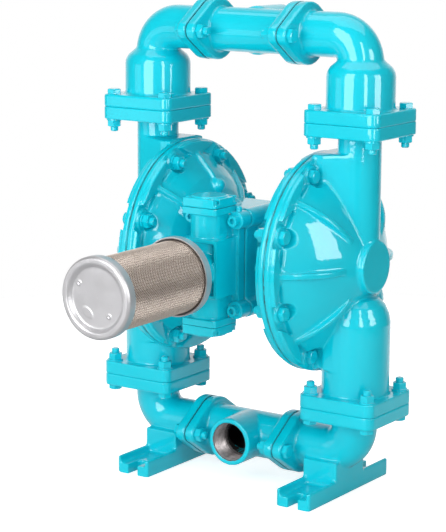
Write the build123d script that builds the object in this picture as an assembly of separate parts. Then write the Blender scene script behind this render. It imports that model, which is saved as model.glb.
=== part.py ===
from build123d import *
from math import cos, sin, radians, sqrt
import os

# Air operated double diaphragm pump with metal castings, 1 1/2 inch ports.
# Millimetres.  X runs along the diaphragm rod, -Y is the suction port and silencer side,
# +Z is up and Z = 0 is the floor.  The right half is built and mirrored where it can be.

# ---- driving dimensions -----------------------------------------------------------------------
COL_X = 150.0            # valve column centre from the middle of the pump
Z_LOW, Z_TOP = 115.0, 465.0              # parting planes of the square check-valve joints
ZC = (Z_LOW + Z_TOP) / 2                 # rod axis height
SQ, SQ_R, SQ_T = 104.0, 10.4, 16.0       # square flange side, corner radius, thickness
SQ_BOLT = 40.0                           # bolt offset from the column centre, both ways
NECK_R, NECK_BORE = 26.6, 20.5           # discharge neck of the chamber
CAGE_R, CAGE_BORE = 41.9, 34.0           # ball cage round the check balls
Z_MAN, MAN_R = Z_TOP + 102.4, 27.5       # discharge manifold axis height and pipe radius
Z_SUC, SUC_R = Z_LOW - 60.8, 28.0        # suction manifold axis height and pipe radius
PIPE_BORE = 21.5
BEND = 33.0                              # centre-line radius of the elbows
JOINT_X, PLATE_T, GASKET = 66.0, 13.0, 1.0   # two-bolt joints of the manifolds
OVAL_R, OVAL_BOLT, OVAL_LUG = 38.5, 47.0, 12.5
PORT_Y, PORT_R, PORT_HOLE = 55.1, 30.3, 24.0  # 1 1/2 inch NPT ports
RIM_R, RIM_X, DIA_T = 136.0, 101.0, 2.0      # chamber rim, its middle plane, diaphragm thickness
RIM_T = 7.0                                  # one rim flange plate
BOLT_C, BOLT_N = 120.0, 8                    # rim bolt circle
BOSS_R, BOSS_H, PAD_H = 13.0, 3.0, 5.5
HUB_R, HUB_X = 33.0, 177.3                   # round boss in the middle of the outer chamber
BALL_R, LIFT, SEAT_R, SEAT_BORE, SEAT_T = 26.0, 12.0, 33.0, 18.0, 10.0
SEAT_MOUTH = 23.0
BALL_UP = sqrt(BALL_R**2 - SEAT_MOUTH**2)    # ball centre above its parting plane
FOOT_X0, FOOT_X1, FOOT_Y, FOOT_H, FOOT_FLOOR = 97.0, 145.0, 96.0, 22.0, 13.0
SLOT_W, SLOT_Y, BLOCK_Y, BLOCK_Z = 14.0, 78.0, 34.0, 45.0
ROD_R, PLATE_R, STROKE = 12.5, 56.0, 14.0
VZ, VY = ZC - 0.5, -100.0                    # air valve middle height, spool axis
VALVE_FLANGE, VALVE_PARTING, VALVE_END = 64.5, 72.5, 86.0   # heights from its middle
CAP_SQ, BARREL_R, SPOOL_R = 50.0, 23.0, 11.0
VALVE_FACE, PAD_FACE = -82.0, -69.0          # front of the valve's mounting plate, its back
LUG_X, LUG_Z, LUG_R = 31.0, 55.5, 11.0
BODY_X, BODY_Y, BODY_TOP = 46.0, 45.0, 61.0
SCREW_C, PILOT_DROP = 39.0, 34.0             # inner chamber screw circle, pilot valve below the rod
MUF_Z, MUF_R, MUF_BODY_R = ZC - 4.3, 48.1, 44.0
MUF_FRONT, MUF_REAR = -328.0, -160.0
M10 = dict(r=5.0, af=16.0, head=6.4, nut=8.0)

os.makedirs("parts", exist_ok=True)


# ---- small helpers ----------------------------------------------------------------------------
def at(x, y, z, axis="Z"):
    """Plane at a point whose normal is +X, +Y or +Z (or minus with a leading '-')."""
    sign = -1 if axis[0] == "-" else 1
    normal = {"X": (1, 0, 0), "Y": (0, 1, 0), "Z": (0, 0, 1)}[axis[-1]]
    across = {"X": (0, 1, 0), "Y": (1, 0, 0), "Z": (1, 0, 0)}[axis[-1]]
    return Plane(origin=(x, y, z), x_dir=across, z_dir=tuple(sign * c for c in normal))


def rod(r, length):
    return Cylinder(r, length, align=(Align.CENTER, Align.CENTER, Align.MIN))


def tube(r_out, r_in, length):
    return rod(r_out, length) - rod(r_in, length)


def hexagon(af, length):
    return extrude(RegularPolygon(af / 2, 6, major_radius=False), length)


def block(x0, x1, y0, y1, z0, z1):
    return Pos((x0 + x1) / 2, (y0 + y1) / 2, (z0 + z1) / 2) * Box(x1 - x0, y1 - y0, z1 - z0)


def turned(*points):
    """Solid of revolution about local Z from (radius, height) points."""
    face = Plane.XZ * make_face(Polyline(*points, close=True))
    return revolve(face, Axis.Z, 360)


def ring_of(count, radius, start=0.0):
    """Points on a circle in the local XY plane."""
    return [
        (radius * cos(radians(start + i * 360 / count)), radius * sin(radians(start + i * 360 / count)))
        for i in range(count)
    ]


def mirrored(solid):
    return mirror(solid, about=Plane.YZ)


def both(solid):
    return Compound(children=[solid, mirrored(solid)])


def group(solids):
    return Compound(children=list(solids))


def save(name, shape):
    export_step(shape, f"parts/{name}.step")


# ---- fasteners --------------------------------------------------------------------------------
def hex_bolt(length, size=M10):
    """Head above local Z = 0, shank below it."""
    crown = turned((0, 0), (11, 0), (11, size["head"] - 2.2), (7.2, size["head"]), (0, size["head"]))
    head = hexagon(size["af"], size["head"]) & crown
    shank = Pos(0, 0, -length) * turned(
        (0, 0), (size["r"] - 1, 0), (size["r"], 1), (size["r"], length), (0, length)
    )
    return head + shank


def hex_nut(size=M10):
    crown = turned((0, 0), (11, 0), (11, size["nut"] - 2), (7.4, size["nut"]), (0, size["nut"]))
    return (hexagon(size["af"], size["nut"]) & crown) - rod(size["r"], size["nut"])


def socket_screw(r, head_r, head_h, length):
    head = rod(head_r, head_h) - Pos(0, 0, head_h * 0.4) * hexagon(head_r, head_h)
    return head + Pos(0, 0, -length) * rod(r, length)


# ---- diaphragm chambers -----------------------------------------------------------------------
def rim_lens():
    """Raised lip of the rim between two bolts, in the local XY plane, centred on +X."""
    edge, deep = 133.5, 117.5
    a = radians(15.5)
    p, q = (edge * cos(a), -edge * sin(a)), (edge * cos(a), edge * sin(a))
    return make_face(ThreePointArc(p, (edge, 0), q) + ThreePointArc(q, (deep, 0), p))


def rim(thickness):
    """Half of the rim joint: plate, bolt bosses and raised lips, seated on local Z = 0."""
    plate = rod(RIM_R, thickness)
    plate += [Pos(x, y, 0) * rod(BOSS_R, thickness + BOSS_H) for x, y in ring_of(8, BOLT_C, 22.5)]
    lens = extrude(rim_lens(), thickness + PAD_H)
    plate += [Rot(0, 0, i * 45) * lens for i in range(8)]
    return plate


def rim_holes(depth):
    return [Pos(x, y, 0) * rod(5.5, depth) for x, y in ring_of(8, BOLT_C, 22.5)]


def spot_faces(start):
    return [Pos(x, y, start) * rod(12.5, 40) for x, y in ring_of(8, BOLT_C, 22.5)]


def radial_rib(points, width):
    face = Plane.XZ * make_face(Polyline(*points, close=True))
    return extrude(face, width / 2, both=True)


def square_flange(z0):
    plate = extrude(RectangleRounded(SQ, SQ, SQ_R), SQ_T)
    plate -= [Pos(x, y, 0) * rod(5.5, SQ_T) for x in (-SQ_BOLT, SQ_BOLT) for y in (-SQ_BOLT, SQ_BOLT)]
    return Pos(COL_X, 0, z0) * plate


def cage_fins(z0, reach):
    """Four guides round a check ball and the fingers that stop its lift."""
    top = z0 + BALL_UP + BALL_R + LIFT + 0.5
    fins = []
    for i in range(4):
        fin = block(BALL_R + 0.6, reach, -2.5, 2.5, z0 + 8, top) + block(9, reach, -2.5, 2.5, top, top + 6)
        fins.append(Pos(COL_X, 0, 0) * (Rot(0, 0, 45 + 90 * i) * fin))
    return fins


def seat_pocket(z_parting):
    return Pos(COL_X, 0, z_parting - SEAT_T) * rod(SEAT_R, SEAT_T)


FACE_OUT = RIM_X + DIA_T / 2          # sealing face of the outer chamber
FACE_IN = RIM_X - DIA_T / 2

outward = at(FACE_OUT, 0, ZC, "X")    # local X is +Y here, local Z runs out along the rod
bowl = ThreePointArc((117, 14), (84, 42), (HUB_R, 67)) + Polyline(
    (HUB_R, 67), (HUB_R, HUB_X - FACE_OUT), (0, HUB_X - FACE_OUT), (0, 0), (117, 0), (117, 14))
dome = revolve(Plane.XZ * make_face(bowl), Axis.Z, 360)
shell = dome + rim(RIM_T)
crest = ThreePointArc((121, 12), (98, 41), (49, 61.3)) + Polyline((49, 61.3), (49, 55), (100, 15), (121, 5), (121, 12))
rib_out = extrude(Plane.XZ * make_face(crest), 3.5, both=True)
shell += [Rot(0, 0, i * 45) * rib_out for i in (0, 1, 3, 4, 5, 7)]
shell = outward * shell


def web_block(points, z0, z1):
    """Filled part of the casting between the rim and the column; points are one half of its plan."""
    outline = points + [(x, -y) for x, y in reversed(points)]
    return Pos(0, 0, z0) * extrude(make_face(Polyline(*outline, close=True)), z1 - z0)


saddle = web_block([(105, 36), (120, 36), (COL_X + 4, NECK_R)], ZC, ZC + 137.5) & (outward * rod(140, 80))
heel = web_block([(105, 34), (121, 35), (127, 40), (COL_X - 8, CAGE_R + 0.3), (COL_X + 4, CAGE_R)], ZC - 127.5, ZC)
column = Pos(COL_X, 0, ZC) * rod(NECK_R, Z_TOP - SQ_T - ZC)
cage = Pos(COL_X, 0, Z_LOW + SQ_T) * turned(
    (0, 0), (CAGE_R, 0), (CAGE_R, 90), (40, 100), (35, 111), (27, 119), (0, 125))
shell -= outward * Compound(children=spot_faces(RIM_T + BOSS_H))
outer_chamber = shell + saddle + heel + column + cage
outer_chamber -= outward * Compound(
    children=[Pos(x, y, RIM_T + BOSS_H) * rod(10, 9) for x, y in ring_of(8, BOLT_C, 22.5)])
outer_chamber += square_flange(Z_LOW) + square_flange(Z_TOP - SQ_T)

cavity = outward * turned((0, 0), (104, 0), (104, 12), (96, 22), (82, 33.5), (66, 43), (34, 59), (0, 62))
cavity += Pos(COL_X, 0, ZC) * rod(NECK_BORE, Z_TOP - ZC)
cavity += Pos(COL_X, 0, Z_LOW) * turned(
    (0, 0), (CAGE_BORE, 0), (CAGE_BORE, 100), (32, 112), (24, 124), (0, 130))
outer_chamber -= cavity
outer_chamber -= outward * Compound(children=rim_holes(RIM_T + BOSS_H))
outer_chamber -= seat_pocket(Z_TOP)
outer_chamber += cage_fins(Z_LOW, CAGE_R - 4)

inward = at(FACE_IN, 0, ZC, "-X")
bell = turned((0, 0), (117, 0), (117, 12), (110, 17), (92, 34), (76, 44.5), (62, 50),
              (62, FACE_IN - BODY_X), (0, FACE_IN - BODY_X))
inner_chamber = bell + rim(RIM_T)
rib_in = radial_rib([(121, 5), (121, 11), (114, 20), (94, 38.5), (76, 49), (60, 50), (80, 20)], 7)
inner_chamber += [Rot(0, 0, i * 45) * rib_in for i in range(8)]
nub = Pos(0, -80, 30) * (rod(9, 15) + Pos(0, 0, 15) * Sphere(9))
inner_chamber += nub
inner_chamber -= spot_faces(RIM_T + BOSS_H)
inner_chamber -= turned((0, 0), (104, 0), (104, 8), (86, 26), (72, 37), (58, 42), (0, 42))
inner_chamber -= rim_holes(RIM_T + BOSS_H)
inner_chamber -= rod(18, 60)
inner_chamber -= Pos(0, PILOT_DROP, 30) * rod(12.5, 30)
inner_chamber -= [Pos(x, y, 0) * rod(3.6, 60) for x, y in ring_of(6, SCREW_C)]
inner_chamber = inward * inner_chamber

save("outer_chamber_right", outer_chamber)
save("outer_chamber_left", mirrored(outer_chamber))
save("inner_chamber_right", inner_chamber)
save("inner_chamber_left", mirrored(inner_chamber))

# ---- manifolds --------------------------------------------------------------------------------
def oval_plate(thickness):
    """Two-bolt flange in the local XY plane; its bolts lie on local X."""
    outline = make_hull(
        (Circle(OVAL_R) + Pos(OVAL_BOLT, 0) * Circle(OVAL_LUG) + Pos(-OVAL_BOLT, 0) * Circle(OVAL_LUG)).edges())
    plate = extrude(outline, thickness)
    return plate - [Pos(x, 0, 0) * rod(5.5, thickness) for x in (-OVAL_BOLT, OVAL_BOLT)]


def bent_pipe(r, z_axis, up):
    """Quarter bend from the column axis to the manifold axis plus the run to the joint."""
    centre = (COL_X - BEND, 0, z_axis - up * BEND)
    ring = Pos(COL_X, 0, centre[2]) * Circle(r)
    bend = revolve(ring, Axis(centre, (0, -up, 0)), 90)
    run = at(JOINT_X, 0, z_axis, "X") * rod(r, COL_X - BEND - JOINT_X)
    return bend + run


HALF_GAP = GASKET / 2
elbow_plate = at(JOINT_X + HALF_GAP, 0, Z_MAN, "X") * oval_plate(PLATE_T - HALF_GAP)
rise = Z_MAN - BEND - Z_TOP
discharge_elbow = Pos(COL_X, 0, Z_TOP) * turned(
    (0, 0), (CAGE_R, 0), (CAGE_R, 55), (41, 60), (37.5, 66), (MAN_R + 1, rise + 4), (0, rise + 4))
discharge_elbow += bent_pipe(MAN_R, Z_MAN, 1) + elbow_plate + square_flange(Z_TOP)
discharge_elbow -= bent_pipe(PIPE_BORE, Z_MAN, 1)
discharge_elbow -= Pos(COL_X, 0, Z_TOP) * turned(
    (0, 0), (CAGE_BORE + 1, 0), (CAGE_BORE + 1, 48), (PIPE_BORE, rise), (0, rise + 1))
discharge_elbow -= block(0, JOINT_X + HALF_GAP, -60, 60, Z_MAN - 60, Z_MAN + 60)
discharge_elbow += [f & (Pos(COL_X, 0, Z_TOP) * rod(38, rise)) for f in cage_fins(Z_TOP, CAGE_R - 3)]

drop = Z_LOW - Z_SUC - BEND
suction_elbow = bent_pipe(SUC_R, Z_SUC, -1)
suction_elbow += Pos(COL_X, 0, Z_SUC + BEND) * turned((0, 0), (SUC_R, 0), (30, drop - SQ_T), (30, drop), (0, drop))
suction_elbow += at(JOINT_X + HALF_GAP, 0, Z_SUC, "X") * oval_plate(PLATE_T - HALF_GAP)
suction_elbow += square_flange(Z_LOW - SQ_T)

foot = block(FOOT_X0, FOOT_X1, -FOOT_Y, FOOT_Y, 0, FOOT_H)
foot = fillet(foot.edges().filter_by(Axis.Z), 3)
tray = block(FOOT_X0 + 5, FOOT_X1 - 5, -FOOT_Y - 5, FOOT_Y + 5, FOOT_FLOOR, FOOT_H + 5)
foot -= fillet(tray.edges().filter_by(Axis.Y).group_by(Axis.Z)[0], 3.5)
foot_mid = (FOOT_X0 + FOOT_X1) / 2
foot += block(FOOT_X0, FOOT_X1, -BLOCK_Y, BLOCK_Y, 0, BLOCK_Z)
for s in (-1, 1):
    foot -= Pos(foot_mid, s * SLOT_Y, 0) * rod(SLOT_W / 2, FOOT_H)
    y0, y1 = sorted((s * SLOT_Y, s * (FOOT_Y + 5)))
    foot -= block(foot_mid - SLOT_W / 2, foot_mid + SLOT_W / 2, y0, y1, 0, FOOT_H)
suction_elbow += foot
suction_elbow -= bent_pipe(PIPE_BORE, Z_SUC, -1) + Pos(COL_X, 0, Z_SUC + BEND) * rod(PIPE_BORE, 60)
suction_elbow -= block(0, JOINT_X + HALF_GAP, -60, 60, Z_SUC - 60, Z_SUC + 60)
suction_elbow -= seat_pocket(Z_LOW)


def tee(z_axis, side, run_r):
    half = JOINT_X - HALF_GAP
    body = at(-half, 0, z_axis, "X") * rod(run_r, 2 * half)
    body += at(0, 0, z_axis, side) * rod(PORT_R, PORT_Y)
    for s, way in ((1, "-X"), (-1, "X")):
        body += at(s * half, 0, z_axis, way) * oval_plate(PLATE_T - HALF_GAP)
    body -= at(-half, 0, z_axis, "X") * rod(PIPE_BORE, 2 * half)
    body -= at(0, 0, z_axis, side) * rod(PIPE_BORE, PORT_Y)
    return body - at(0, 0, z_axis, side) * (Pos(0, 0, PORT_Y - 27) * rod(PORT_HOLE, 27))


save("discharge_elbow_right", discharge_elbow)
save("discharge_elbow_left", mirrored(discharge_elbow))
save("suction_elbow_right", suction_elbow)
save("suction_elbow_left", mirrored(suction_elbow))
save("discharge_tee", tee(Z_MAN, "Y", MAN_R))
save("suction_tee", tee(Z_SUC, "-Y", 29.5))

gasket = oval_plate(GASKET) - rod(PIPE_BORE, GASKET)
gaskets = [at(s * JOINT_X - HALF_GAP, 0, z, "X") * gasket for s in (-1, 1) for z in (Z_MAN, Z_SUC)]
save("manifold_gaskets", group(gaskets))

# ---- check valves -----------------------------------------------------------------------------
seat = rod(SEAT_R, SEAT_T) - rod(SEAT_BORE, SEAT_T)
seat -= Pos(0, 0, SEAT_T + BALL_UP) * Sphere(BALL_R + 0.02)
seat -= Pos(0, 0, SEAT_T - 2.6) * tube(30.6, 27.4, 2.6)
seal = Pos(0, 0, SEAT_T - 1.3) * Torus(29, 1.3)
ball = Pos(0, 0, SEAT_T + BALL_UP) * Sphere(BALL_R)
for name, z in (("suction", Z_LOW), ("discharge", Z_TOP)):
    here = Pos(COL_X, 0, z - SEAT_T)
    save(f"{name}_seats", both(here * seat))
    save(f"{name}_ball_right", here * ball)
    save(f"{name}_ball_left", mirrored(here * ball))
save("seat_seals", group(s for z in (Z_LOW, Z_TOP) for s in
                         (Pos(COL_X, 0, z - SEAT_T) * seal, Pos(-COL_X, 0, z - SEAT_T) * seal)))

# ---- diaphragms and rod -----------------------------------------------------------------------
web = turned((13, -1.5), (60, -1.5), (78, 5.5), (94, 5.5), (103, -1), (135.2, -1), (135.2, 1), (103, 1),
             (95, 8), (77, 8), (60, 1.5), (13, 1.5))
web -= Compound(children=[Pos(x, y, -2) * rod(5.5, 4) for x, y in ring_of(8, BOLT_C, 22.5)])
diaphragm = at(RIM_X, 0, ZC, "X") * web
save("diaphragm_right", diaphragm)
save("diaphragm_left", mirrored(diaphragm))

plate_in = at(RIM_X - 1.5, 0, ZC, "-X") * turned(
    (ROD_R, 0), (PLATE_R, 0), (PLATE_R, 3), (48, 7), (22, 9), (22, 13), (ROD_R, 13))
plate_out = at(RIM_X + 1.5, 0, ZC, "X") * turned(
    (8, 0), (PLATE_R, 0), (PLATE_R, 4), (50, 8), (24, 12), (8, 12))
save("inner_plates", both(plate_in))
save("outer_plates", both(plate_out))
end = RIM_X - 1.5
main_rod = at(-end, 0, ZC, "X") * rod(ROD_R, 2 * end)
main_rod += at(-end - 14, 0, ZC, "X") * rod(8, 2 * end + 28)
save("rod", main_rod)
nut = at(RIM_X + 13.5, 0, ZC, "X") * (hexagon(30, 9) - rod(8, 9))
save("rod_nuts", both(nut))

# ---- centre body with its pilot valve ---------------------------------------------------------
body = block(-BODY_X, BODY_X, -BODY_Y, BODY_Y, ZC - BODY_TOP, ZC + BODY_TOP)
body = fillet(body.edges().filter_by(Axis.X), 12)
pad = extrude(RectangleRounded(66, 2 * LUG_Z + 8, 6), -PAD_FACE - BODY_Y + 2)
body += at(0, PAD_FACE, VZ, "Y") * pad
for x in (-LUG_X, LUG_X):
    for z in (-LUG_Z, LUG_Z):
        body += at(x, PAD_FACE, VZ + z, "Y") * rod(LUG_R + 1, 70)
inlet_at = at(0, 0, ZC + 26, "Y")
body += inlet_at * rod(20, BODY_Y + 12)
body -= inlet_at * (Pos(0, 0, 26) * rod(13.2, BODY_Y - 14))
body -= inlet_at * rod(7, 30)
body -= at(-BODY_X, 0, ZC, "X") * rod(18, 2 * BODY_X)
PILOT_Z = ZC - PILOT_DROP
body -= at(-BODY_X, 0, PILOT_Z, "X") * rod(11, 2 * BODY_X)
exhaust = at(0, PAD_FACE, VZ - 4, "Y") * rod(10, 34)
body -= exhaust
body -= [at(x, PAD_FACE, VZ + 12, "Y") * rod(5, 34) for x in (-18, 18)]
body -= [at(x, PAD_FACE, VZ + z, "Y") * rod(4, 26) for x in (-LUG_X, LUG_X) for z in (-LUG_Z, LUG_Z)]
for s, way in ((1, "-X"), (-1, "X")):
    body -= at(s * BODY_X, 0, ZC, way) * Compound(
        children=[Pos(x, y, 0) * rod(3.5, 16) for x, y in ring_of(6, SCREW_C)])
save("center_body", body)

bushing = tube(18, ROD_R + 0.04, 26)
bushing -= Pos(0, 0, 6) * tube(15.5, ROD_R, 4)
bushing = at(BODY_X, 0, ZC, "-X") * bushing
save("rod_bushings", both(bushing))
lip = at(BODY_X - 6, 0, ZC, "-X") * tube(15.5, ROD_R + 0.02, 4)
save("rod_seals", both(lip))
save("pilot_sleeve", at(-BODY_X + 8, 0, PILOT_Z, "X") * (
    tube(11, 6.04, 2 * BODY_X - 16) - Compound(children=[Pos(0, 0, h) * tube(11, 9.5, 5) for h in (14, 35.5, 57)])))
spool = turned((0, -32), (4, -32), (6, -30), (6, -16), (3.6, -14), (3.6, -7), (6, -5), (6, 5), (3.6, 7),
               (3.6, 14), (6, 16), (6, 30), (4, 32), (0, 32))
save("pilot_spool", at(0, 0, PILOT_Z, "X") * spool)
plunger = at(32, 0, PILOT_Z, "X") * (rod(3.5, 40) + Pos(0, 0, 40) * rod(6, 4))
save("actuator_plungers", both(plunger))
guide = at(BODY_X - 8, 0, PILOT_Z, "X") * (tube(11, 3.55, 8) + Pos(0, 0, 8) * tube(12.5, 3.55, 6))
save("plunger_guides", both(guide))
cap_screw = socket_screw(3.5, 6.5, 7, 27)
screws = [at(BODY_X + 12, 0, ZC, "X") * (Pos(x, y, 0) * cap_screw) for x, y in ring_of(6, SCREW_C)]
save("chamber_screws", group(screws + [mirrored(s) for s in screws]))
inlet = Pos(0, 0, 34) * (tube(13.2, 9, 23) + Pos(0, 0, 23) * (hexagon(32, 9) - rod(9, 9)))
save("air_inlet", inlet_at * inlet)

# ---- air distribution valve -------------------------------------------------------------------
barrel = Pos(0, VY, VZ - VALVE_FLANGE) * rod(BARREL_R, 2 * VALVE_FLANGE)
barrel &= block(-21, 21, VY - 25, VY + 25, VZ - 80, VZ + 80)
valve = barrel + block(-21, 21, VY, PAD_FACE - 13, VZ - 62, VZ + 62)
plate = extrude(RectangleRounded(62, 2 * LUG_Z + 4, 6), PAD_FACE - VALVE_FACE - 1)
valve += at(0, VALVE_FACE, VZ, "Y") * plate
for x in (-LUG_X, LUG_X):
    for z in (-LUG_Z, LUG_Z):
        valve += at(x, VALVE_FACE - 8, VZ + z, "Y") * rod(LUG_R, PAD_FACE - VALVE_FACE + 7)
valve += block(-27, 27, -125, VALVE_FACE, VZ - 37, VZ + 34.5)
valve -= block(-23, 23, -130, -104, VZ - 33, VZ + 30.5)
valve += Pos(0, VY, VZ - 40) * rod(BARREL_R, 80) & block(-27, 27, -125, VALVE_FACE, VZ - 40, VZ + 40)
valve += at(0, -104, MUF_Z, "-Y") * rod(24, 36)
for s in (-1, 1):
    ends = extrude(chamfer(Rectangle(CAP_SQ, CAP_SQ).vertices(), 3), VALVE_PARTING - VALVE_FLANGE)
    z0 = VZ + VALVE_FLANGE if s > 0 else VZ - VALVE_PARTING
    valve += Pos(0, VY, z0) * ends
valve -= Pos(0, VY, VZ - VALVE_PARTING) * rod(17, 2 * VALVE_PARTING)
valve -= at(0, VY, MUF_Z, "-Y") * rod(15, 60)
valve -= at(0, VY, VZ - 4, "Y") * rod(9, 60)
valve -= [at(x, -96, VZ + 12, "Y") * rod(4, 40) for x in (-12, 12)]
valve -= [at(x, -96, VZ + z, "Y") * rod(4.4, 40) for x in (-LUG_X, LUG_X) for z in (-LUG_Z, LUG_Z)]
CAP_BOLT = 19.5
for x in (-CAP_BOLT, CAP_BOLT):
    for y in (-CAP_BOLT, CAP_BOLT):
        valve -= Pos(x, VY + y, VZ - VALVE_PARTING) * rod(2.1, 8)
        valve -= Pos(x, VY + y, VZ + VALVE_PARTING - 8) * rod(2.1, 8)
save("air_valve_body", valve)

sleeve = Pos(0, VY, VZ - 60) * tube(17, SPOOL_R + 0.03, 120)
for z in (-40, -20, 0, 20, 40):
    sleeve -= Pos(0, VY, VZ + z - 3) * tube(17, 15.2, 6)
    sleeve -= [at(0, VY, VZ + z, way) * rod(2.4, 20) for way in ("X", "-X", "Y", "-Y")]
save("valve_sleeve", sleeve)
SPOOL_END, SPOOL_TRAVEL = VALVE_PARTING + 0.4 - 6.0, 12.0
half_spool = turned((0, 0), (6.5, 0), (6.5, 12), (SPOOL_R, 14), (SPOOL_R, 24), (6.5, 26), (6.5, 38),
                    (SPOOL_R, 40), (SPOOL_R, 56), (8, 58), (7, SPOOL_END - 1), (6, SPOOL_END), (0, SPOOL_END))
main_spool = half_spool + Rot(180, 0, 0) * half_spool
save("valve_spool", Pos(0, VY, VZ - SPOOL_TRAVEL / 2) * main_spool)

cap_h = VALVE_END - VALVE_PARTING - 0.5
cap = extrude(chamfer(Rectangle(CAP_SQ, CAP_SQ).vertices(), 3), cap_h - 2) + rod(22, cap_h)
for x in (-CAP_BOLT, CAP_BOLT):
    for y in (-CAP_BOLT, CAP_BOLT):
        cap -= Pos(x, y, 4.5) * (rod(4.6, 10) + block(min(0, x / 3.2), max(0, x / 3.2), -4.6, 4.6, 0, 10))
        cap -= Pos(x, y, 0) * rod(2.7, 6)
seal_ring = tube(24, 17.5, 0.5) & extrude(Rectangle(46, 46), 1)
cap_seat = Pos(0, VY, VZ + VALVE_PARTING)
flip = Pos(0, VY, VZ - VALVE_PARTING) * Rot(180, 0, 0)
save("valve_cap_top", cap_seat * (Pos(0, 0, 0.5) * cap))
save("valve_cap_bottom", flip * (Pos(0, 0, 0.5) * cap))
seal_ring -= Compound(children=[Pos(x, y, 0) * rod(2.7, 1) for x in (-CAP_BOLT, CAP_BOLT)
                                for y in (-CAP_BOLT, CAP_BOLT)])
save("valve_cap_gaskets", group([cap_seat * seal_ring, flip * seal_ring]))
m5 = Pos(0, 0, 5) * socket_screw(2.1, 4.2, 5, 12.5)
small = [Pos(x, y, 0) * m5 for x in (-CAP_BOLT, CAP_BOLT) for y in (-CAP_BOLT, CAP_BOLT)]
save("valve_cap_screws", group([cap_seat * s for s in small] + [flip * s for s in small]))

valve_gasket = extrude(RectangleRounded(62, 2 * LUG_Z + 4, 6), 1) - Pos(0, -4) * rod(10, 1)
valve_gasket -= [Pos(x, z, 0) * rod(4.4, 1) for x in (-LUG_X, LUG_X) for z in (-LUG_Z, LUG_Z)]
save("valve_gasket", at(0, PAD_FACE - 1, VZ, "Y") * valve_gasket)
m8 = [at(x, VALVE_FACE - 8, VZ + z, "-Y") * socket_screw(4, 6.5, 8, 45)
      for x in (-LUG_X, LUG_X) for z in (-LUG_Z, LUG_Z)]
save("valve_screws", group(m8))

# ---- exhaust silencer -------------------------------------------------------------------------
muffler = at(0, MUF_REAR, MUF_Z, "-Y")          # local Z runs from the rear cap to the front
length = MUF_REAR - MUF_FRONT
cup = turned((0, 0), (38, 0), (MUF_R, 5), (MUF_R, 15), (MUF_R - 1.6, 15), (MUF_R - 1.6, 6), (37, 1.8), (0, 1.8))
rear_cap = cup - rod(15.2, 5)
front_cap = turned((0, 5), (36, 5), (39, 1.4), (41, 0), (45.5, 0), (MUF_R, 2.4), (MUF_R, 14), (MUF_R - 1.6, 14),
                   (MUF_R - 1.6, 4), (42, 3), (38, 6.8), (0, 6.8))
front_cap = Pos(0, 0, length) * (Rot(180, 0, 0) * front_cap)
save("silencer_rear_cap", muffler * rear_cap)
save("silencer_front_cap", muffler * front_cap)
mesh = Pos(0, 0, 4.9) * tube(MUF_BODY_R, MUF_BODY_R - 1.2, length - 8.4)
save("silencer_mesh", muffler * mesh)
core = Pos(0, 0, 2.3) * tube(38, 26, length - 9.1)
save("silencer_core", muffler * core)
nipple = Pos(0, 0, -30) * tube(15, 11, 44) + Pos(0, 0, 1.8) * (hexagon(40, 6) - rod(11, 6))
save("silencer_nipple", muffler * nipple)

# ---- bolts, nuts and washers ------------------------------------------------------------------
WASHER = tube(10, 5.3, 2)
rim_out = RIM_X + DIA_T / 2 + RIM_T + BOSS_H
rim_in = 2 * RIM_X - rim_out
rim_span = rim_out - rim_in
rim_bolts, rim_nuts, rim_washers = [], [], []
for x, y in ring_of(BOLT_N, BOLT_C, 360 / BOLT_N / 2):
    rim_bolts.append(at(rim_out, 0, ZC, "X") * (Pos(x, y, 0) * hex_bolt(rim_span + 16)))
    rim_washers.append(at(rim_in, 0, ZC, "-X") * (Pos(x, y, 0) * WASHER))
    rim_nuts.append(at(rim_in, 0, ZC, "-X") * (Pos(x, y, 2) * hex_nut()))
for name, solids in (("bolts", rim_bolts), ("nuts", rim_nuts), ("washers", rim_washers)):
    save(f"rim_{name}", group(solids + [mirrored(s) for s in solids]))

square = [(sx * COL_X + x, y) for sx in (-1, 1) for x in (-SQ_BOLT, SQ_BOLT) for y in (-SQ_BOLT, SQ_BOLT)]
for name, z, head_up in (("discharge", Z_TOP, True), ("suction", Z_LOW, False)):
    top, low = ("Z", "-Z") if head_up else ("-Z", "Z")
    zh, zn = (z + SQ_T, z - SQ_T) if head_up else (z - SQ_T, z + SQ_T)
    save(f"{name}_flange_bolts", group(at(x, y, zh, top) * hex_bolt(2 * SQ_T + 16) for x, y in square))
    save(f"{name}_flange_washers", group(at(x, y, zn, low) * WASHER for x, y in square))
    save(f"{name}_flange_nuts", group(at(x, y, zn, low) * (Pos(0, 0, 2) * hex_nut()) for x, y in square))

joint_bolts, joint_nuts = [], []
for z in (Z_MAN, Z_SUC):
    for y in (-OVAL_BOLT, OVAL_BOLT):
        joint_bolts.append(at(JOINT_X + PLATE_T, y, z, "X") * hex_bolt(2 * PLATE_T + 14))
        joint_nuts.append(at(JOINT_X - PLATE_T, y, z, "-X") * hex_nut())
save("manifold_bolts", group(joint_bolts + [mirrored(b) for b in joint_bolts]))
save("manifold_nuts", group(joint_nuts + [mirrored(n) for n in joint_nuts]))
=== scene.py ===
import bpy
import math
from mathutils import Matrix, Vector


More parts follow.
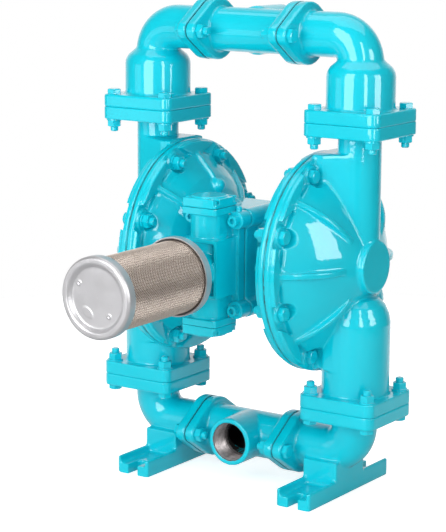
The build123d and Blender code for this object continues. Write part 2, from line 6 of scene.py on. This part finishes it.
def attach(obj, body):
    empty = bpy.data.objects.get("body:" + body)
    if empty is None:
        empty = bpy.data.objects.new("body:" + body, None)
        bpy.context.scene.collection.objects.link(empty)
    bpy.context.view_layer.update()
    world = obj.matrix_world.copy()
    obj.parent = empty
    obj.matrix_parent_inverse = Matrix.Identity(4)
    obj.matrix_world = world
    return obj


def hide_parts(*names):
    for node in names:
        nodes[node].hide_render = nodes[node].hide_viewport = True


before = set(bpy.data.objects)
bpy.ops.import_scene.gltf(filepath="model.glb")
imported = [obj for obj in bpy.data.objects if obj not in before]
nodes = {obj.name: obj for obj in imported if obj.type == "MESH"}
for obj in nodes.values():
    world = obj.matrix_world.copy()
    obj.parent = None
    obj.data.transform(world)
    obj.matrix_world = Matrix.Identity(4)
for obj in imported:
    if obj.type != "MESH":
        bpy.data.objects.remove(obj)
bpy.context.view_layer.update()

scene = bpy.context.scene
scene.view_settings.view_transform = "Standard"

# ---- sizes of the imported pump, in metres; -Y is the silencer side -------------------------------
Z_LOW, Z_TOP = 0.115, 0.465                  # parting planes of the square check-valve joints
RIM_X, JOINT_X = 0.101, 0.066                # middle planes of the chamber rims, manifold joints
ROD_Z = 0.29
VALVE_Z, VALVE_PARTING = 0.2895, 0.0725      # air valve: its middle, and from it to each cap
Z_SUCTION, Z_DISCHARGE = 0.0542, 0.5674      # manifold axes
PORT_Y = 0.0551                              # mouth of a port from the manifold axis
PIPE_WALL, PORT_WALL = 0.0232, 0.0247        # radii that just take in the walls of pipe and port
PIPE_END, PORT_END = 0.0652, 0.0547          # where those walls, bare or in painted shade, stop
MUFFLER = (0.0, -0.328, 0.2857)              # middle of the silencer's front cap
MESH_R, MESH_START, MESH_END = 0.044, -0.3245, -0.1655
LUG_PLUG = (0.031, -0.0825, 0.3555)          # seat of the plug on the air valve's upper right lug

# ---- camera, fitted to the photograph -----------------------------------------------------------
AZIMUTH, ELEVATION, ROLL = 34.088, 11.008, 0.337
TARGET, DISTANCE = (-0.04774, 0.0, 0.26615), 2.46477
FOCAL_PIXELS, IMAGE_HEIGHT, SENSOR = 1931.5, 532.0, 36.0


def link(obj):
    scene.collection.objects.link(obj)
    return obj


def place_camera():
    azimuth, elevation, roll = (math.radians(v) for v in (AZIMUTH, ELEVATION, ROLL))
    back = Vector((math.sin(azimuth) * math.cos(elevation), -math.cos(azimuth) * math.cos(elevation),
                   math.sin(elevation)))
    right = (-back).cross(Vector((0, 0, 1))).normalized()
    up = right.cross(-back)
    x_axis = right * math.cos(roll) + up * math.sin(roll)
    y_axis = up * math.cos(roll) - right * math.sin(roll)
    data = bpy.data.cameras.new("photo_camera")
    data.sensor_width, data.sensor_fit = SENSOR, "AUTO"
    data.lens = FOCAL_PIXELS * SENSOR / IMAGE_HEIGHT
    data.clip_start, data.clip_end = 0.05, 50.0
    obj = link(bpy.data.objects.new("photo_camera", data))
    pose = Matrix((x_axis, y_axis, back)).transposed().to_4x4()
    pose.translation = Vector(TARGET) + back * DISTANCE
    obj.matrix_world = pose
    scene.camera = obj


place_camera()

# ---- light --------------------------------------------------------------------------------------
# name, azimuth, lower and upper edge, width, level: bright panes that only the enamel's gloss mirrors
PANES = (("left_window", -3.5, 0.26, 1.75, 0.80, 5.9),
         ("left_card", -44, 0.02, 0.62, 0.60, 1.0),
         ("right_window_near", 50, 0.26, 1.5, 0.22, 8.0),
         ("right_window_far", 87, 0.34, 1.10, 0.46, 8.0))
# the same for soft lamps that light the colours and leave no reflection
FILLS = (("left_fill", -10, 0.0, 1.4, 1.0, 4.1),
         ("right_fill", 54, 0.1, 1.6, 1.0, 2.2))
PANE_DISTANCE, FILL_DISTANCE = 1.35, 1.45
TOP_PLACE, TOP_TURN, TOP_SIZE, TOP_LEVEL = (0.1, 0.1, 1.9), 34, (1.8, 1.4), 1.6
WORLD_LEVEL = 0.24
AWAY = (-0.56, 0.83, 0.0)                    # level direction from the camera past the pump


def lamp(name, place, turn, width, height, level):
    """Rectangular lamp of even radiance; a level of 1 is the white of the background."""
    data = bpy.data.lights.new(name, "AREA")
    data.shape, data.size, data.size_y = "RECTANGLE", width, height
    data.energy = level * math.pi * data.size * data.size_y
    obj = link(bpy.data.objects.new(name, data))
    obj.location, obj.rotation_euler = place, turn
    return obj


def softbox(distance, name, azimuth, low, high, width, level):
    """Upright lamp that faces the pump; azimuth 0 is in front of it, at -Y."""
    a = math.radians(azimuth)
    place = (math.sin(a) * distance, -math.cos(a) * distance, (low + high) / 2)
    return lamp(name, place, (math.radians(90), 0, a), width, high - low, level)


for pane in PANES:
    softbox(PANE_DISTANCE, *pane).visible_diffuse = False
for fill in FILLS:
    softbox(FILL_DISTANCE, *fill).visible_glossy = False
lamp("top_softbox", TOP_PLACE, (0, 0, math.radians(TOP_TURN)), *TOP_SIZE, TOP_LEVEL)


# ---- shader helpers -----------------------------------------------------------------------------
def shader(name, color, roughness, **values):
    """New Principled material; constant values go on the shader's own sockets."""
    mat = bpy.data.materials.new(name)
    mat.use_nodes = True
    bsdf = mat.node_tree.nodes["Principled BSDF"]
    bsdf.inputs["Base Color"].default_value = (*color, 1)
    bsdf.inputs["Roughness"].default_value = roughness
    for key, value in values.items():
        bsdf.inputs[key.replace("_", " ")].default_value = value
    return mat, mat.node_tree, bsdf


def add(tree, kind, **settings):
    node = tree.nodes.new("ShaderNode" + kind)
    for key, value in settings.items():
        if key in node.inputs:
            node.inputs[key].default_value = value
        else:
            setattr(node, key, value)
    return node


def calculate(tree, operation, *terms):
    """Math node; each term is a socket or a plain number."""
    node = add(tree, "Math", operation=operation)
    for socket, term in zip(node.inputs, terms):
        if isinstance(term, bpy.types.NodeSocket):
            tree.links.new(term, socket)
        else:
            socket.default_value = term
    return node.outputs[0]


def noise(tree, scale, detail=3.0, vector=None):
    node = add(tree, "TexNoise", Scale=scale, Detail=detail)
    if vector is None:
        vector = add(tree, "TexCoord").outputs["Object"]
    tree.links.new(vector, node.inputs["Vector"])
    return node.outputs["Fac"]


def ramp(tree, value, low, high, out_low, out_high):
    node = add(tree, "MapRange")
    for key, v in (("From Min", low), ("From Max", high), ("To Min", out_low), ("To Max", out_high)):
        node.inputs[key].default_value = v
    tree.links.new(value, node.inputs["Value"])
    return node.outputs["Result"]


def tint(tree, value, dark, light):
    node = add(tree, "Mix", data_type="RGBA")
    node.inputs["A"].default_value = (*dark, 1)
    node.inputs["B"].default_value = (*light, 1)
    tree.links.new(value, node.inputs["Factor"])
    return node.outputs["Result"]


def bump(tree, bsdf, height, strength, distance, before=None, socket="Normal"):
    node = add(tree, "Bump", Strength=strength, Distance=distance)
    tree.links.new(height, node.inputs["Height"])
    if before is not None:
        tree.links.new(before, node.inputs["Normal"])
    tree.links.new(node.outputs["Normal"], bsdf.inputs[socket])
    return node.outputs["Normal"]


def seen_directly(tree):
    """1 for the rays that show the background: straight from the camera, mirrored or through glass."""
    path = add(tree, "LightPath").outputs
    mirrored = calculate(tree, "MAXIMUM", path["Is Camera Ray"], path["Is Glossy Ray"])
    return calculate(tree, "MAXIMUM", mirrored, path["Is Transmission Ray"])


def beyond_pump(tree, coordinate):
    """How far a direction or a place lies on the far side of the pump, seen from the camera."""
    node = add(tree, "VectorMath", operation="DOT_PRODUCT")
    node.inputs[1].default_value = AWAY
    tree.links.new(add(tree, "TexCoord").outputs[coordinate], node.inputs[0])
    return node.outputs["Value"]


# ---- background ---------------------------------------------------------------------------------
def studio_world():
    """Soft light all round. The camera sees it white; mirrored, it is white behind the pump and dim
    in front of it."""
    world = bpy.data.worlds.new("studio")
    scene.world = world
    world.use_nodes = True
    tree = world.node_tree
    tree.nodes.clear()
    light = add(tree, "Background", Color=(1, 1, 1, 1), Strength=WORLD_LEVEL)
    seen = add(tree, "Background", Color=(1, 1, 1, 1))
    mirrored = ramp(tree, beyond_pump(tree, "Generated"), 0.45, 0.9, 0.10, 1.0)
    straight = add(tree, "LightPath").outputs["Is Camera Ray"]
    tree.links.new(calculate(tree, "MAXIMUM", straight, mirrored), seen.inputs["Strength"])
    mix = add(tree, "MixShader")
    tree.links.new(seen_directly(tree), mix.inputs["Fac"])
    tree.links.new(light.outputs[0], mix.inputs[1])
    tree.links.new(seen.outputs[0], mix.inputs[2])
    tree.links.new(mix.outputs[0], add(tree, "OutputWorld").inputs["Surface"])


studio_world()


# ---- materials ----------------------------------------------------------------------------------
def enamel(name="teal_enamel"):
    """Gloss enamel sprayed on a cast surface: sand texture under a coat with a little orange peel."""
    mat, tree, bsdf = shader(name, (0.0, 0.5, 0.6), 0.42, Coat_Weight=1.0, Coat_Roughness=0.04, Coat_IOR=1.5,
                             Specular_IOR_Level=0.12)
    cloudy = ramp(tree, noise(tree, 9.0), 0.3, 0.7, 0.0, 1.0)
    color = tint(tree, cloudy, (0.0, 0.55, 0.68), (0.0, 0.595, 0.725))
    tree.links.new(color, bsdf.inputs["Base Color"])
    tree.links.new(ramp(tree, noise(tree, 60.0), 0.3, 0.7, 0.36, 0.48), bsdf.inputs["Roughness"])
    sand = bump(tree, bsdf, noise(tree, 420.0, 2.0), 0.10, 0.0004)
    bump(tree, bsdf, noise(tree, 130.0, 1.0), 0.16, 0.0006, before=sand)
    bump(tree, bsdf, noise(tree, 130.0, 1.0), 0.09, 0.0006, socket="Coat Normal")
    return mat


def mottled(name, dark, light, roughness, scale, bump_scale, bump_distance, **values):
    """Plain surface with two close tones, uneven roughness and a fine relief."""
    mat, tree, bsdf = shader(name, light, roughness[0], **values)
    tree.links.new(tint(tree, ramp(tree, noise(tree, scale), 0.3, 0.7, 0.0, 1.0), dark, light),
                   bsdf.inputs["Base Color"])
    tree.links.new(ramp(tree, noise(tree, scale * 3), 0.3, 0.7, *roughness), bsdf.inputs["Roughness"])
    bump(tree, bsdf, noise(tree, bump_scale, 2.0), 0.35, bump_distance)
    return mat


def brushed(name, dark, light, roughness, stretch):
    """Turned or ground metal: fine grain drawn out along one axis."""
    mat, tree, bsdf = shader(name, light, roughness, Metallic=1.0)
    scaled = add(tree, "Mapping")
    scaled.inputs["Scale"].default_value = stretch
    tree.links.new(add(tree, "TexCoord").outputs["Object"], scaled.inputs["Vector"])
    grain = noise(tree, 1.0, 4.0, scaled.outputs["Vector"])
    tree.links.new(tint(tree, ramp(tree, grain, 0.3, 0.7, 0.0, 1.0), dark, light), bsdf.inputs["Base Color"])
    tree.links.new(ramp(tree, grain, 0.3, 0.7, roughness - 0.06, roughness + 0.08), bsdf.inputs["Roughness"])
    bump(tree, bsdf, grain, 0.12, 0.0002)
    return mat


def painted_edge_rubber():
    """Diaphragm rubber whose outer edge took the enamel when the closed pump was sprayed."""
    mat, tree, bsdf = shader("diaphragm_rubber", (0.02, 0.02, 0.02), 0.6)
    place = add(tree, "SeparateXYZ")
    tree.links.new(add(tree, "TexCoord").outputs["Object"], place.inputs[0])
    across = calculate(tree, "POWER", place.outputs["Y"], 2.0)
    height = calculate(tree, "POWER", calculate(tree, "SUBTRACT", place.outputs["Z"], ROD_Z), 2.0)
    from_rod = calculate(tree, "SQRT", calculate(tree, "ADD", across, height))
    edge = ramp(tree, from_rod, 0.1345, 0.1350, 0.0, 1.0)
    patchy = ramp(tree, noise(tree, 55.0), 0.35, 0.6, 0.35, 1.0)
    cover = calculate(tree, "MULTIPLY", edge, patchy)
    tree.links.new(tint(tree, cover, (0.012, 0.013, 0.014), (0.0, 0.36, 0.43)), bsdf.inputs["Base Color"])
    tree.links.new(ramp(tree, cover, 0.0, 1.0, 0.62, 0.3), bsdf.inputs["Roughness"])
    bump(tree, bsdf, noise(tree, 300.0), 0.3, 0.0003)
    return mat


PAINT = enamel()
RAW_IRON = mottled("raw_cast_iron", (0.10, 0.09, 0.09), (0.30, 0.275, 0.27), (0.45, 0.7), 45.0, 260.0,
                   0.0008, Metallic=0.6)
CUT_IRON = mottled("cut_thread_iron", (0.34, 0.31, 0.31), (0.66, 0.61, 0.61), (0.28, 0.5), 160.0, 420.0,
                   0.0006, Metallic=0.75)
# near-black painted shade: stands in for the shade deep inside the tees' pipe run and port, not the iron's
# own colour
BORE_PAINTED_SHADE = mottled("bore_painted_shade", (0.006, 0.006, 0.006), (0.02, 0.02, 0.02), (0.7, 0.9), 60.0,
                    300.0, 0.0006)
ZINC = mottled("satin_zinc", (0.53, 0.525, 0.54), (0.59, 0.585, 0.60), (0.36, 0.46), 14.0, 500.0,
               0.00012, Metallic=0.75)
WIRE = mottled("mesh_wire", (0.50, 0.42, 0.36), (0.64, 0.56, 0.50), (0.3, 0.42), 300.0, 700.0,
               0.0001, Metallic=0.85)
LINER = mottled("mesh_lining", (0.075, 0.05, 0.032), (0.16, 0.115, 0.08), (0.6, 0.8), 25.0, 300.0, 0.0006)
STEEL = brushed("ground_steel", (0.46, 0.46, 0.47), (0.62, 0.62, 0.63), 0.26, (60.0, 900.0, 900.0))
SEAT_STEEL = brushed("turned_steel", (0.42, 0.42, 0.43), (0.6, 0.6, 0.61), 0.3, (90.0, 90.0, 1400.0))
BRONZE = brushed("bronze", (0.42, 0.27, 0.12), (0.58, 0.4, 0.2), 0.32, (1400.0, 120.0, 120.0))
ALUMINIUM = brushed("machined_aluminium", (0.58, 0.58, 0.6), (0.74, 0.74, 0.76), 0.3, (1200.0, 110.0, 110.0))
ANODISED = brushed("hard_anodised", (0.2, 0.2, 0.22), (0.3, 0.3, 0.32), 0.38, (110.0, 110.0, 1200.0))
BALL = mottled("ball_rubber", (0.012, 0.012, 0.013), (0.03, 0.03, 0.03), (0.42, 0.6), 70.0, 500.0, 0.0002)
SEAL = mottled("seal_rubber", (0.01, 0.01, 0.01), (0.022, 0.022, 0.022), (0.35, 0.5), 90.0, 500.0, 0.0001)
GASKET = mottled("painted_gasket_edge", (0.0, 0.20, 0.25), (0.01, 0.32, 0.39), (0.5, 0.7), 60.0, 600.0,
                 0.0003)
FELT = mottled("silencer_felt", (0.16, 0.11, 0.07), (0.3, 0.22, 0.15), (0.85, 0.95), 40.0, 500.0, 0.0015)
RUBBER = painted_edge_rubber()


# ---- castings -----------------------------------------------------------------------------------
def apply_modifiers(obj):
    mesh = bpy.data.meshes.new_from_object(obj.evaluated_get(bpy.context.evaluated_depsgraph_get()))
    old = obj.data
    obj.modifiers.clear()
    obj.data = mesh
    bpy.data.meshes.remove(old)


def casting(name, voxel=0.0016, passes=6, crisp=(), ratio=0.3, unpainted=None):
    """Cast version of a CAD node: one skin with softened edges and filled corners.
    crisp lists (axis, value, reach) planes near which machined faces stay sharp, and unpainted(point)
    gives 1 where the iron is bare, 2 deep inside for near-black painted shade, and 0 on painted faces."""
    obj = link(bpy.data.objects.new(name + "_cast", nodes[name].data.copy()))
    remesh = obj.modifiers.new("skin", "REMESH")
    remesh.mode, remesh.voxel_size, remesh.adaptivity = "VOXEL", voxel, 0.0
    apply_modifiers(obj)
    mesh = obj.data
    count = len(mesh.vertices)
    co = [0.0] * (3 * count)
    mesh.vertices.foreach_get("co", co)
    sharp = set()
    for axis, value, reach in crisp:
        k = "XYZ".index(axis)
        sharp.update(i for i in range(count) if abs(abs(co[3 * i + k]) - value) < reach)
    group = obj.vertex_groups.new(name="soft")
    group.add(range(count), 1.0, "REPLACE")
    if sharp:
        group.add(list(sharp), 0.25, "REPLACE")
    soft = obj.modifiers.new("soft", "SMOOTH")
    soft.factor, soft.iterations, soft.vertex_group = 0.5, passes, "soft"
    obj.modifiers.new("fewer", "DECIMATE").ratio = ratio
    apply_modifiers(obj)
    obj.data.shade_smooth()
    obj.data.materials.clear()
    # slot 2 is the near-black painted shade for deep bores
    for mat in (PAINT, RAW_IRON, BORE_PAINTED_SHADE):
        obj.data.materials.append(mat)
    if unpainted:
        for face in obj.data.polygons:
            face.material_index = unpainted(face.center)
    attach(obj, "housing")
    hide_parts(name)


def tee_inside(z_axis, side):
    """Faces of a tee: its bare threaded port mouth, and the deeper port and pipe run, which get near-black
    painted shade.
    """
    port_start, thread_start = 0.018, 0.027

    def test(p):
        run = math.hypot(p.y, p.z - z_axis)
        port = math.hypot(p.x, p.z - z_axis)
        out = p.y * side
        # 2 is near-black painted shade for the deep bore; 1 is the bare iron of the threaded mouth
        if run < PIPE_WALL and abs(p.x) < PIPE_END:
            return 2
        if port < PORT_WALL and port_start < out < PORT_END:
            return 1 if out > thread_start else 2
        return 0
    return test


SQUARE_JOINTS = (("Z", Z_LOW, 0.0035), ("Z", Z_TOP, 0.0035))
RIM_JOINT = (("X", RIM_X, 0.003),)
MANIFOLD_JOINT = (("X", JOINT_X, 0.0035),)
VALVE_JOINTS = tuple(("Z", VALVE_Z + s * VALVE_PARTING, 0.002) for s in (1, -1))
for side in ("right", "left"):
    casting(f"outer_chamber_{side}", voxel=0.0012, passes=3, crisp=SQUARE_JOINTS + RIM_JOINT, ratio=0.45)
    casting(f"inner_chamber_{side}", voxel=0.0013, passes=4, crisp=RIM_JOINT)
    casting(f"discharge_elbow_{side}", crisp=SQUARE_JOINTS + MANIFOLD_JOINT)
    casting(f"suction_elbow_{side}", crisp=SQUARE_JOINTS + MANIFOLD_JOINT)
casting("discharge_tee", crisp=MANIFOLD_JOINT, passes=4, unpainted=tee_inside(Z_DISCHARGE, 1))
casting("suction_tee", crisp=MANIFOLD_JOINT, passes=4, unpainted=tee_inside(Z_SUCTION, -1))
casting("center_body", passes=4)
casting("air_valve_body", voxel=0.001, passes=2, crisp=VALVE_JOINTS)
for end in ("top", "bottom"):
    casting(f"valve_cap_{end}", voxel=0.0007, passes=3, ratio=0.5)

# ---- carried-over CAD pieces --------------------------------------------------------------------
BOLTED = ("rim_bolts", "rim_nuts", "rim_washers", "discharge_flange_bolts", "discharge_flange_nuts",
          "discharge_flange_washers", "suction_flange_bolts", "suction_flange_nuts",
          "suction_flange_washers", "manifold_bolts", "manifold_nuts")
CARRIED = {
    PAINT: (*BOLTED, "valve_screws", "valve_cap_screws"),
    RUBBER: ("diaphragm_right", "diaphragm_left"),
    BALL: ("suction_ball_right", "suction_ball_left", "discharge_ball_right", "discharge_ball_left"),
    SEAT_STEEL: ("suction_seats", "discharge_seats"),
    SEAL: ("seat_seals", "rod_seals"),
    GASKET: ("manifold_gaskets", "valve_gasket", "valve_cap_gaskets"),
    STEEL: ("rod", "rod_nuts", "chamber_screws", "pilot_spool", "actuator_plungers"),
    ALUMINIUM: ("inner_plates", "outer_plates"),
    BRONZE: ("rod_bushings", "plunger_guides", "pilot_sleeve"),
    ANODISED: ("valve_spool", "valve_sleeve"),
    ZINC: ("air_inlet", "silencer_nipple", "silencer_rear_cap"),
    FELT: ("silencer_core",),
}
for mat, names in CARRIED.items():
    for name in names:
        for place in nodes[name].material_slots:
            place.link, place.material = "OBJECT", mat
for name in BOLTED:
    edge = nodes[name].modifiers.new("edge", "BEVEL")
    edge.width, edge.segments, edge.limit_method, edge.angle_limit = 0.0006, 2, "ANGLE", math.radians(32)


# ---- turned and woven pieces --------------------------------------------------------------------
def new_piece(name, verts, faces, mat, slot):
    mesh = bpy.data.meshes.new(name)
    mesh.from_pydata(verts, [], faces)
    mesh.update()
    mesh.shade_smooth()
    mesh.set_sharp_from_angle(angle=math.radians(48))
    mesh.materials.append(mat)
    obj = link(bpy.data.objects.new(name, mesh))
    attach(obj, "housing")
    return obj


def circle(count):
    """Cosine and sine of evenly spaced points round a circle."""
    return [(math.cos(2 * math.pi * k / count), math.sin(2 * math.pi * k / count)) for k in range(count)]


def rounded(profile, radius, steps=4):
    """(r, z, rounding) corners of a section; each corner becomes a short curve."""
    points = []
    count = len(profile)
    for i, (r, z, f) in enumerate(profile):
        here = Vector((r, z))
        if f == 0:
            points.append(here)
            continue
        before = Vector(profile[i - 1][:2]) - here
        after = Vector(profile[(i + 1) % count][:2]) - here
        cut = min(radius * f, before.length * 0.45, after.length * 0.45)
        a, b = here + before.normalized() * cut, here + after.normalized() * cut
        for k in range(steps + 1):
            t = k / steps
            points.append(a * (1 - t) ** 2 + here * 2 * t * (1 - t) + b * t ** 2)
    return points


def lathe(origin, section, segments, bulge=None):
    """Closed ring-shaped section turned about a line along Y from origin; its z counts along +Y."""
    verts, faces = [], []
    rows = len(section)
    for c, s in circle(segments):
        for p in section:
            depth = p.y + (bulge(p.x * c, p.x * s) if bulge else 0.0)
            verts.append((origin[0] + p.x * c, origin[1] + depth, origin[2] + p.x * s))
    for s in range(segments):
        n = (s + 1) % segments
        for i in range(rows):
            k = (i + 1) % rows
            faces.append((s * rows + i, s * rows + k, n * rows + k, n * rows + i))
    return verts, faces


def port_thread(name, z_axis, side, root=0.0239, crest=0.0229, pitch=0.00221, length=0.0262, inset=0.0008):
    """Taper pipe thread in the mouth of a port, as one helical skin."""
    around = 110
    ring = circle(around)
    shape = (0.0, 0.0, 0.5, 1.0, 0.5)
    per_turn = len(shape)
    rows = int(length / pitch * per_turn)
    verts, faces = [], []
    for i in range(rows + 1):
        near_end = min(1.0, i / 4, (rows - i) / 4)
        y = side * (PORT_Y - inset - length * i / rows)
        for s, (across, up) in enumerate(ring):
            phase = (i / per_turn + s / around) % 1.0 * per_turn
            k = int(phase)
            height = shape[k] + (shape[(k + 1) % per_turn] - shape[k]) * (phase - k)
            r = root - (root - crest) * height * near_end
            verts.append((r * across, y, z_axis + r * up))
    for i in range(rows):
        for s in range(around):
            n = (s + 1) % around
            quad = (i * around + s, i * around + n, (i + 1) * around + n, (i + 1) * around + s)
            faces.append(quad if side < 0 else quad[::-1])
    new_piece(name, verts, faces, CUT_IRON, "teal_enamel")


port_thread("suction_port_thread", Z_SUCTION, -1)
port_thread("discharge_port_thread", Z_DISCHARGE, 1)


def lug_plug(x, y, z, radius=0.0036, height=0.0065, sunk=0.002, around=24):
    """Small painted plug that closes the drilling on top of a valve lug."""
    section = ((radius, -sunk), (radius, height * 0.72), (radius * 0.93, height * 0.9),
               (radius * 0.75, height), (radius * 0.42, height), (radius * 0.36, height * 0.8),
               (0.0001, height * 0.78))
    verts = [(x + r * c, y + r * s, z + h) for r, h in section for c, s in circle(around)]
    faces = []
    for i in range(len(section) - 1):
        for s in range(around):
            n = (s + 1) % around
            faces.append((i * around + s, i * around + n, (i + 1) * around + n, (i + 1) * around + s))
    faces.append(tuple(range(around))[::-1])
    new_piece("valve_lug_plug", verts, faces, PAINT, "teal_enamel")


lug_plug(*LUG_PLUG)

# section of the silencer's front cap, from its rolled rim round the edge to the recessed disc; the
# disc has a ring every half millimetre, so that the pressed marks have points to move
DISC_DEPTH = 0.0056
DISC = [(0.0005 * k, DISC_DEPTH, 0) for k in range(32, 67)]
CAP_SECTION = [
    (0.0455, 0.0, 1), (0.0481, 0.0026, 1.4), (0.0481, 0.0140, 1), (0.0465, 0.0140, 1), (0.0465, 0.0048, 1),
    (0.0425, 0.0030, 1), (0.0385, 0.0070, 1), (0.0002, 0.0072, 0), (0.0002, DISC_DEPTH, 0), *DISC,
    (0.0356, 0.0054, 1.5), (0.0388, 0.0012, 2), (0.0405, 0.0, 1)]
CAP_ROUNDING, CAP_SEGMENTS = 0.0012, 240


def dimples(u, w):
    """Pressed marks on the recessed disc: two small rings and a bare oval field between them."""
    depth = 0.0
    for ring_u, ring_w in ((-0.0258, 0.0145), (0.0165, -0.0195)):
        d = math.hypot(u - ring_u, w - ring_w)
        depth -= 0.0007 * math.exp(-((d - 0.0023) / 0.0009) ** 2)
    du, dw = u + 0.0138, w + 0.0183
    along, across = du * 0.80 - dw * 0.60, du * 0.60 + dw * 0.80
    d = math.hypot(along / 0.0085, across / 0.0050)
    return depth - 0.0005 / (1 + math.exp((d - 1.0) * 14))


pressing = lathe(MUFFLER, rounded(CAP_SECTION, CAP_ROUNDING), CAP_SEGMENTS, dimples)
front_cap = new_piece("silencer_front_pressing", *pressing, ZINC, "silencer_cap_zinc")
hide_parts("silencer_front_cap")


def woven_sleeve(y0, y1, radius, wires=80, thickness=0.00036, lift=0.00034):
    """Two families of crossing helical wires, each passing over and under the other."""
    step = math.pi * radius / wires
    count = int((y1 - y0) / step)
    verts, faces = [], []
    for family in (1, -1):
        for w in range(wires):
            first = len(verts)
            for i in range(count + 1):
                t = i * step
                a = 2 * math.pi * w / wires + family * t / radius
                r = radius + family * lift * (1 if i % 2 == 0 else -1)
                out = Vector((math.cos(a), 0, math.sin(a)))
                along = Vector((-math.sin(a) * family, 1, math.cos(a) * family)).normalized()
                side = out.cross(along)
                centre = Vector((MUFFLER[0], y0 + t, MUFFLER[2])) + out * r
                for c, s in ((1, 0), (-0.5, 0.95), (-0.5, -0.95)):
                    verts.append(centre + out * thickness * c + side * thickness * 1.25 * s)
            for i in range(count):
                for k in range(3):
                    n = (k + 1) % 3
                    a, b = first + 3 * i, first + 3 * i + 3
                    faces.append((a + k, a + n, b + n, b + k))
    return verts, faces


def sleeve(outer, inner, start, length, segments=144):
    corners = [(outer, 0.0, 0), (outer, length, 0), (inner, length, 0), (inner, 0.0, 0)]
    return lathe((MUFFLER[0], start, MUFFLER[2]), rounded(corners, 0.0), segments)


weave = new_piece("silencer_woven_mesh", *woven_sleeve(MESH_START, MESH_END, MESH_R - 0.0008), WIRE,
                  "silencer_mesh_steel")
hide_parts("silencer_mesh")
lining = sleeve(MESH_R - 0.0021, MESH_R - 0.0029, MESH_START, 0.159)
new_piece("silencer_lining", *lining, LINER, "silencer_mesh_steel")


# ---- floor --------------------------------------------------------------------------------------
def stage(radius=1.15):
    """Round table top; seen directly or mirrored it is lifted to white, and it keeps the pump's shadow."""
    mesh = bpy.data.meshes.new("floor")
    mesh.from_pydata([(radius * c, radius * s, 0) for c, s in circle(96)], [], [tuple(range(96))])
    obj = link(bpy.data.objects.new("floor", mesh))
    mat, tree, bsdf = shader("floor_white", (0.8, 0.8, 0.8), 0.9, Specular_IOR_Level=0.1)
    path = add(tree, "LightPath").outputs
    tree.links.new(tint(tree, path["Is Glossy Ray"], (0.8, 0.8, 0.8), (0.4, 0.4, 0.4)),
                   bsdf.inputs["Base Color"])
    mirrored = ramp(tree, beyond_pump(tree, "Object"), -0.1, 0.5, 0.1, 0.85)
    straight = calculate(tree, "MULTIPLY", path["Is Camera Ray"], 0.7)
    level = calculate(tree, "MAXIMUM", mirrored, straight)
    glow = add(tree, "Emission", Color=(1, 1, 1, 1))
    tree.links.new(calculate(tree, "MULTIPLY", seen_directly(tree), level), glow.inputs["Strength"])
    total = add(tree, "AddShader")
    tree.links.new(bsdf.outputs[0], total.inputs[0])
    tree.links.new(glow.outputs[0], total.inputs[1])
    tree.links.new(total.outputs[0], tree.nodes["Material Output"].inputs["Surface"])
    mesh.materials.append(mat)


stage()
